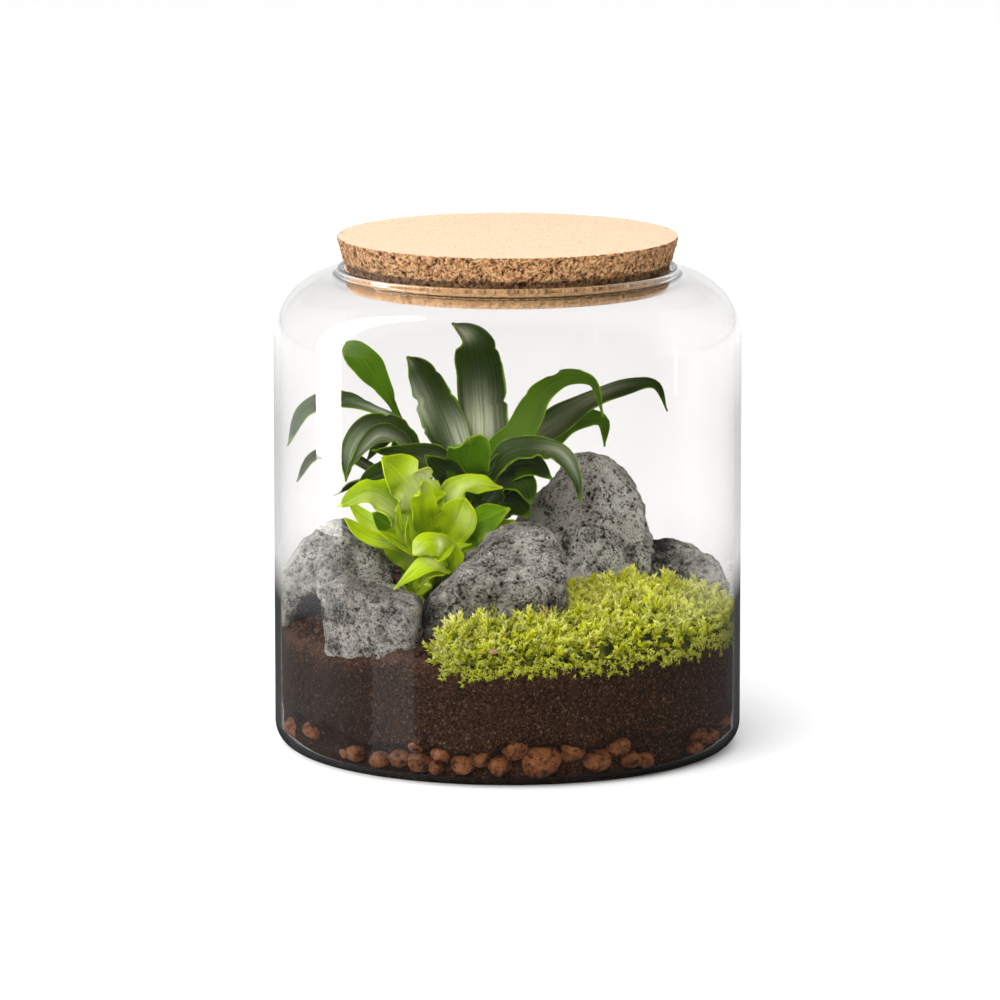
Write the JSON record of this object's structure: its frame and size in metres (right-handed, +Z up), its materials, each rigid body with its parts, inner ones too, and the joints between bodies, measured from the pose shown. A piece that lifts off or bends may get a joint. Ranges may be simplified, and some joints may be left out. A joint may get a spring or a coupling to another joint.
{
  "type": "glass plant terrarium",
  "caption": "Round glass jar with a cork lid, planted with a leafy dracaena, moss and lava stones on soil over clay pebbles.",
  "frame": {"origin": "middle of the jar's flat bottom, on the surface it stands on", "axes": "+Z up along the jar's axis, -Y towards the front that the picture shows, +X to the right"},
  "size_m": [0.2, 0.2, 0.22],
  "materials": {
    "jar_glass": "clear blown glass, smooth and glossy",
    "cork": "pressed cork granules, matt, speckled",
    "clay": "baked expanded clay, matt",
    "soil": "dark fibrous potting soil, crumbly",
    "lava": "grey porous lava, rough",
    "moss": "soft yellow-green moss sprigs",
    "leaf_mature": "glossy dark green with pale streaks and thin light edges",
    "leaf_young": "glossy bright green"
  },
  "bodies": {
    "root": {"glass_jar": "jar_glass", "cork_lid": "cork", "clay_pebbles": "clay", "soil": "soil", "stone_front_left": "lava", "stone_back_left": "lava", "stone_centre": "lava", "stone_back": "lava", "stone_right": "lava", "moss_carpet": "moss", "dracaena_main_head": "leaf_mature", "dracaena_left_head": "leaf_mature", "dracaena_young_head": "leaf_young", "dracaena_young_shoot": "leaf_young"}
  },
  "joints": []
}
